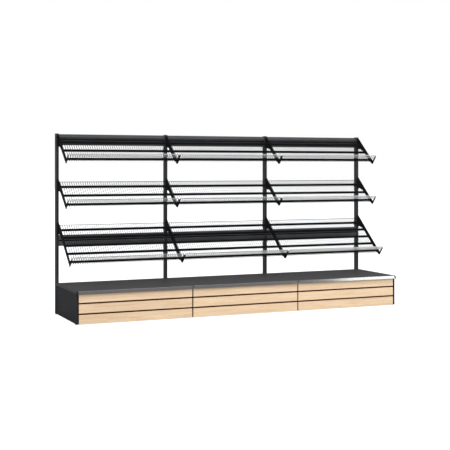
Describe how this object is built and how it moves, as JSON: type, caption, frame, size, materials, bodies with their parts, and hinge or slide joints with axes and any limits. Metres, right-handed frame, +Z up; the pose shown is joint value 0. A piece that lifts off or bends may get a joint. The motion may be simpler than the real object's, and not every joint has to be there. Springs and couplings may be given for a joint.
{
  "type": "produce display rack",
  "caption": "Shop rack for produce: sloping wire shelves with front lips on slotted uprights, over a low plinth with a flat deck and timber slat fronts.",
  "frame": {"origin": "bottom centre of the whole rack's box, on the floor", "axes": "+X along the row of bays, to the right as seen from the front; +Y to the back of the rack; +Z up"},
  "size_m": [3.78, 0.8974, 1.958],
  "materials": {
    "upright": "satin dark grey powder coat",
    "deck": "matt grey powder coat",
    "price_rail": "glossy pale grey plastic",
    "wood": "pale oak, matt lacquer",
    "kick_panel": "matt dark brown powder coat",
    "header": "satin dark grey powder coat",
    "wire": "satin near-black powder coat",
    "bracket": "satin near-black powder coat",
    "ticket_strip": "clear glossy plastic",
    "foot": "matt black plastic"
  },
  "bodies": {
    "rack": {"upright_1": "upright", "upright_2": "upright", "upright_3": "upright", "upright_4": "upright", "deck_1": "deck", "price_rail_1": "price_rail", "wood_front_1": "wood", "kick_panel_1": "kick_panel", "top_header_1": "header", "mid_header_1": "header", "wire_shelf_top_1": "wire", "ticket_strip_top_1": "ticket_strip", "wire_shelf_middle_1": "wire", "ticket_strip_middle_1": "ticket_strip", "wire_shelf_bottom_1": "wire", "ticket_strip_bottom_1": "ticket_strip", "deck_2": "deck", "price_rail_2": "price_rail", "wood_front_2": "wood", "kick_panel_2": "kick_panel", "top_header_2": "header", "mid_header_2": "header", "wire_shelf_top_2": "wire", "ticket_strip_top_2": "ticket_strip", "wire_shelf_middle_2": "wire", "ticket_strip_middle_2": "ticket_strip", "wire_shelf_bottom_2": "wire", "ticket_strip_bottom_2": "ticket_strip", "deck_3": "deck", "price_rail_3": "price_rail", "wood_front_3": "wood", "kick_panel_3": "kick_panel", "top_header_3": "header", "mid_header_3": "header", "wire_shelf_top_3": "wire", "ticket_strip_top_3": "ticket_strip", "wire_shelf_middle_3": "wire", "ticket_strip_middle_3": "ticket_strip", "wire_shelf_bottom_3": "wire", "ticket_strip_bottom_3": "ticket_strip", "bracket_top_1": "bracket", "bracket_middle_1": "bracket", "bracket_bottom_1": "bracket", "bracket_top_2": "bracket", "bracket_middle_2": "bracket", "bracket_bottom_2": "bracket", "bracket_top_3": "bracket", "bracket_middle_3": "bracket", "bracket_bottom_3": "bracket", "bracket_top_4": "bracket", "bracket_middle_4": "bracket", "bracket_bottom_4": "bracket"},
    "levelling_foot_front_1": {"levelling_foot_front_1": "foot"},
    "levelling_foot_front_2": {"levelling_foot_front_2": "foot"},
    "levelling_foot_front_3": {"levelling_foot_front_3": "foot"},
    "levelling_foot_front_4": {"levelling_foot_front_4": "foot"},
    "levelling_foot_rear_1": {"levelling_foot_rear_1": "foot"},
    "levelling_foot_rear_2": {"levelling_foot_rear_2": "foot"},
    "levelling_foot_rear_3": {"levelling_foot_rear_3": "foot"},
    "levelling_foot_rear_4": {"levelling_foot_rear_4": "foot"}
  },
  "joints": [
    {"name": "levelling_foot_front_1_screw", "type": "slide", "parent": "rack", "child": "levelling_foot_front_1", "axis": [0, 0, -1], "range_m": [0, 0.015]},
    {"name": "levelling_foot_front_2_screw", "type": "slide", "parent": "rack", "child": "levelling_foot_front_2", "axis": [0, 0, -1], "range_m": [0, 0.015]},
    {"name": "levelling_foot_front_3_screw", "type": "slide", "parent": "rack", "child": "levelling_foot_front_3", "axis": [0, 0, -1], "range_m": [0, 0.015]},
    {"name": "levelling_foot_front_4_screw", "type": "slide", "parent": "rack", "child": "levelling_foot_front_4", "axis": [0, 0, -1], "range_m": [0, 0.015]},
    {"name": "levelling_foot_rear_1_screw", "type": "slide", "parent": "rack", "child": "levelling_foot_rear_1", "axis": [0, 0, -1], "range_m": [0, 0.015]},
    {"name": "levelling_foot_rear_2_screw", "type": "slide", "parent": "rack", "child": "levelling_foot_rear_2", "axis": [0, 0, -1], "range_m": [0, 0.015]},
    {"name": "levelling_foot_rear_3_screw", "type": "slide", "parent": "rack", "child": "levelling_foot_rear_3", "axis": [0, 0, -1], "range_m": [0, 0.015]},
    {"name": "levelling_foot_rear_4_screw", "type": "slide", "parent": "rack", "child": "levelling_foot_rear_4", "axis": [0, 0, -1], "range_m": [0, 0.015]}
  ]
}
